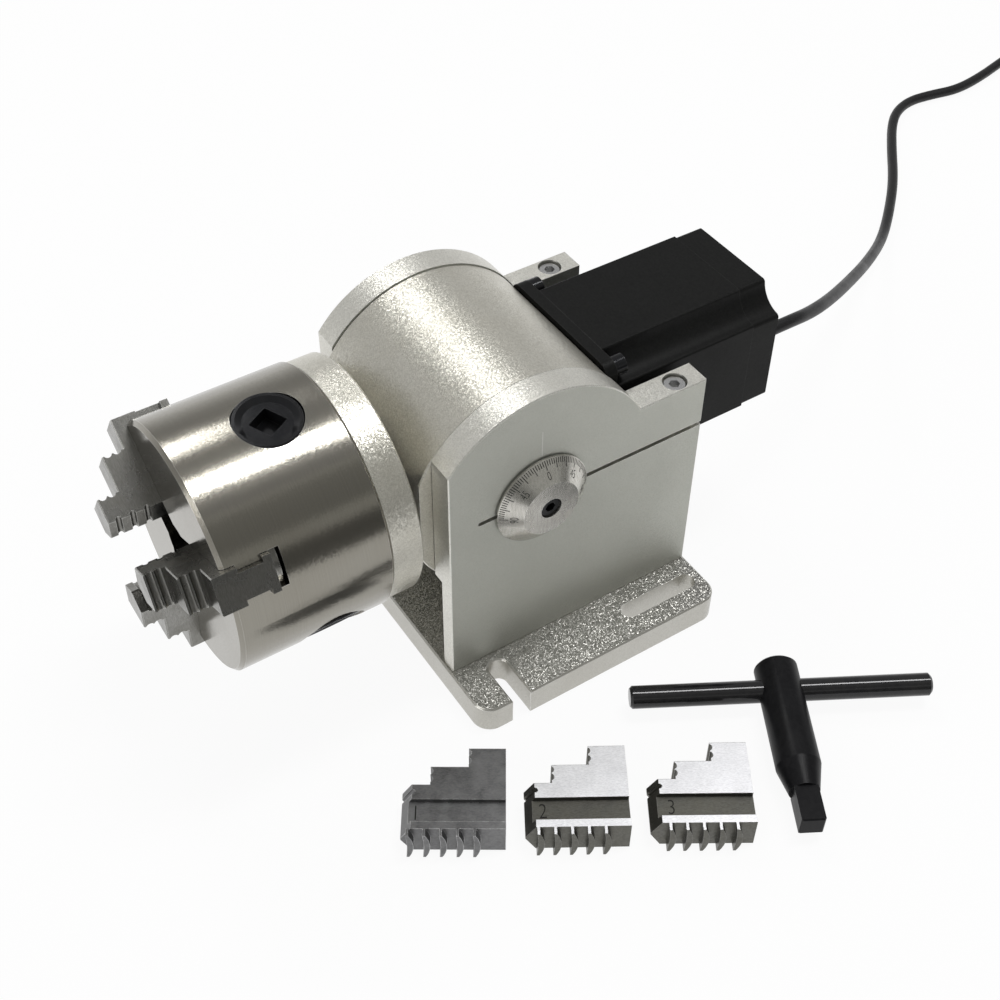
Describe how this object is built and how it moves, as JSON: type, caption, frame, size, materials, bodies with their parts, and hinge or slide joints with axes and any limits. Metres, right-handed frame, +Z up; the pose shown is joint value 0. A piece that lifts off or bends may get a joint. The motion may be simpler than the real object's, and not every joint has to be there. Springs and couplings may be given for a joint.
{
  "type": "laser rotary axis",
  "caption": "Tilting rotary axis with a self-centring jaw chuck, stepper motor, angle dial and slotted base, with spare jaws and a chuck key lying beside it.",
  "frame": {"origin": "underside of the base plate, in its middle plane, straight below the tilt axis", "axes": "+Z up from the bed, the chuck faces -Y along the spindle axis, the tilt axis is along X and the dial is on +X"},
  "size_m": [0.4039, 0.8003, 0.1442],
  "materials": {
    "blasted_aluminium": "bead blasted and clear anodised",
    "turned_steel": "turned and polished",
    "bearing_steel": "ground",
    "jaw_steel": "hardened and ground",
    "black_steel": "blackened, glossy",
    "bright_screws": "plated",
    "motor_black": "satin black",
    "cable_black": "satin"
  },
  "bodies": {
    "base": {"base_plate": "blasted_aluminium", "cheek_left": "blasted_aluminium", "cheek_right": "blasted_aluminium", "cheek_screws": "bright_screws", "motor_cable": "cable_black", "cable_coil": "cable_black", "cable_plug": "cable_black"},
    "tilt_head": {"tilt_housing": "blasted_aluminium", "journal_left": "blasted_aluminium", "journal_right": "blasted_aluminium", "journal_screws": "bright_screws", "angle_dial": "blasted_aluminium", "dial_screw": "black_steel", "bearing_circlip": "bearing_steel", "front_bearing_outer": "bearing_steel", "rear_bearing_outer": "bearing_steel", "bearing_spacer_outer": "bearing_steel", "motor_flange": "motor_black", "motor_body": "motor_black", "motor_rear_cap": "motor_black", "motor_screws": "black_steel", "cable_gland": "cable_black"},
    "spindle": {"spindle": "turned_steel", "front_bearing_inner": "bearing_steel", "rear_bearing_inner": "bearing_steel", "bearing_spacer_inner": "bearing_steel", "spindle_locknut": "turned_steel", "shaft_coupling": "blasted_aluminium", "motor_shaft": "turned_steel", "faceplate": "blasted_aluminium", "faceplate_screws": "bright_screws", "chuck_mount_screws": "bright_screws", "chuck_body": "turned_steel", "chuck_cover": "turned_steel", "cover_screws": "bright_screws", "pinion_pins": "turned_steel"},
    "scroll": {"scroll_plate": "turned_steel"},
    "pinion_1": {"pinion_1": "black_steel"},
    "jaw_1": {"jaw_1": "jaw_steel"},
    "pinion_2": {"pinion_2": "black_steel"},
    "jaw_2": {"jaw_2": "jaw_steel"},
    "pinion_3": {"pinion_3": "black_steel"},
    "jaw_3": {"jaw_3": "jaw_steel"},
    "clamp_screw_left": {"clamp_screw_left": "bright_screws"},
    "clamp_screw_right": {"clamp_screw_right": "bright_screws"},
    "chuck_key": {"key_shank": "black_steel", "key_bar": "black_steel"},
    "spare_jaw_1": {"spare_jaw_1": "jaw_steel"},
    "spare_jaw_2": {"spare_jaw_2": "jaw_steel"},
    "spare_jaw_3": {"spare_jaw_3": "jaw_steel"}
  },
  "joints": [
    {"name": "head_tilt", "type": "hinge", "parent": "base", "child": "tilt_head", "pos_m": [0, 0, 0.0934], "axis": [-1, 0, 0], "range_deg": [-10, 25], "deforming": ["motor_cable"]},
    {"name": "spindle_turn", "type": "hinge", "parent": "tilt_head", "child": "spindle", "pos_m": [0, 0, 0.0934], "axis": [0, 1, 0], "continuous": true},
    {"name": "scroll_turn", "type": "hinge", "parent": "spindle", "child": "scroll", "pos_m": [0, -0.1015, 0.0934], "axis": [0, 1, 0], "range_deg": [-714, 450]},
    {"name": "jaw_1_slide", "type": "slide", "parent": "spindle", "child": "jaw_1", "axis": [0.911, 0, 0.4123], "range_m": [-0.0126, 0.008]},
    {"name": "jaw_2_slide", "type": "slide", "parent": "spindle", "child": "jaw_2", "axis": [-0.8126, 0, 0.5828], "range_m": [-0.0126, 0.008]},
    {"name": "jaw_3_slide", "type": "slide", "parent": "spindle", "child": "jaw_3", "axis": [-0.0985, 0, -0.9951], "range_m": [-0.0126, 0.008]},
    {"name": "pinion_1_turn", "type": "hinge", "parent": "spindle", "child": "pinion_1", "pos_m": [0.00449, -0.0875, 0.13878], "axis": [0.0985, 0, 0.9951], "range_deg": [-3600, 2300]},
    {"name": "pinion_2_turn", "type": "hinge", "parent": "spindle", "child": "pinion_2", "pos_m": [-0.04154, -0.0875, 0.0746], "axis": [-0.911, 0, -0.4123], "range_deg": [-3600, 2300]},
    {"name": "pinion_3_turn", "type": "hinge", "parent": "spindle", "child": "pinion_3", "pos_m": [0.03705, -0.0875, 0.06682], "axis": [0.8126, 0, -0.5828], "range_deg": [-3600, 2300]},
    {"name": "clamp_screw_left_turn", "type": "hinge", "parent": "base", "child": "clamp_screw_left", "pos_m": [-0.0433, 0.066, 0.1149], "axis": [0, 0, 1], "range_deg": [0, 90]},
    {"name": "clamp_screw_right_turn", "type": "hinge", "parent": "base", "child": "clamp_screw_right", "pos_m": [0.0433, 0.066, 0.1149], "axis": [0, 0, 1], "range_deg": [0, 90]},
    {"name": "key_lift", "type": "slide", "parent": "base", "child": "chuck_key", "axis": [0, 0, 1], "range_m": [0, 0.15]},
    {"name": "spare_jaw_1_lift", "type": "slide", "parent": "base", "child": "spare_jaw_1", "axis": [0, 0, 1], "range_m": [0, 0.15]},
    {"name": "spare_jaw_2_lift", "type": "slide", "parent": "base", "child": "spare_jaw_2", "axis": [0, 0, 1], "range_m": [0, 0.15]},
    {"name": "spare_jaw_3_lift", "type": "slide", "parent": "base", "child": "spare_jaw_3", "axis": [0, 0, 1], "range_m": [0, 0.15]}
  ],
  "couplings": [
    {"joint": "jaw_1_slide", "follows": "scroll_turn", "m_per_rad": 0.0010027},
    {"joint": "jaw_2_slide", "follows": "scroll_turn", "m_per_rad": 0.0010027},
    {"joint": "jaw_3_slide", "follows": "scroll_turn", "m_per_rad": 0.0010027},
    {"joint": "pinion_1_turn", "follows": "scroll_turn", "ratio": 5},
    {"joint": "pinion_2_turn", "follows": "scroll_turn", "ratio": 5},
    {"joint": "pinion_3_turn", "follows": "scroll_turn", "ratio": 5}
  ]
}
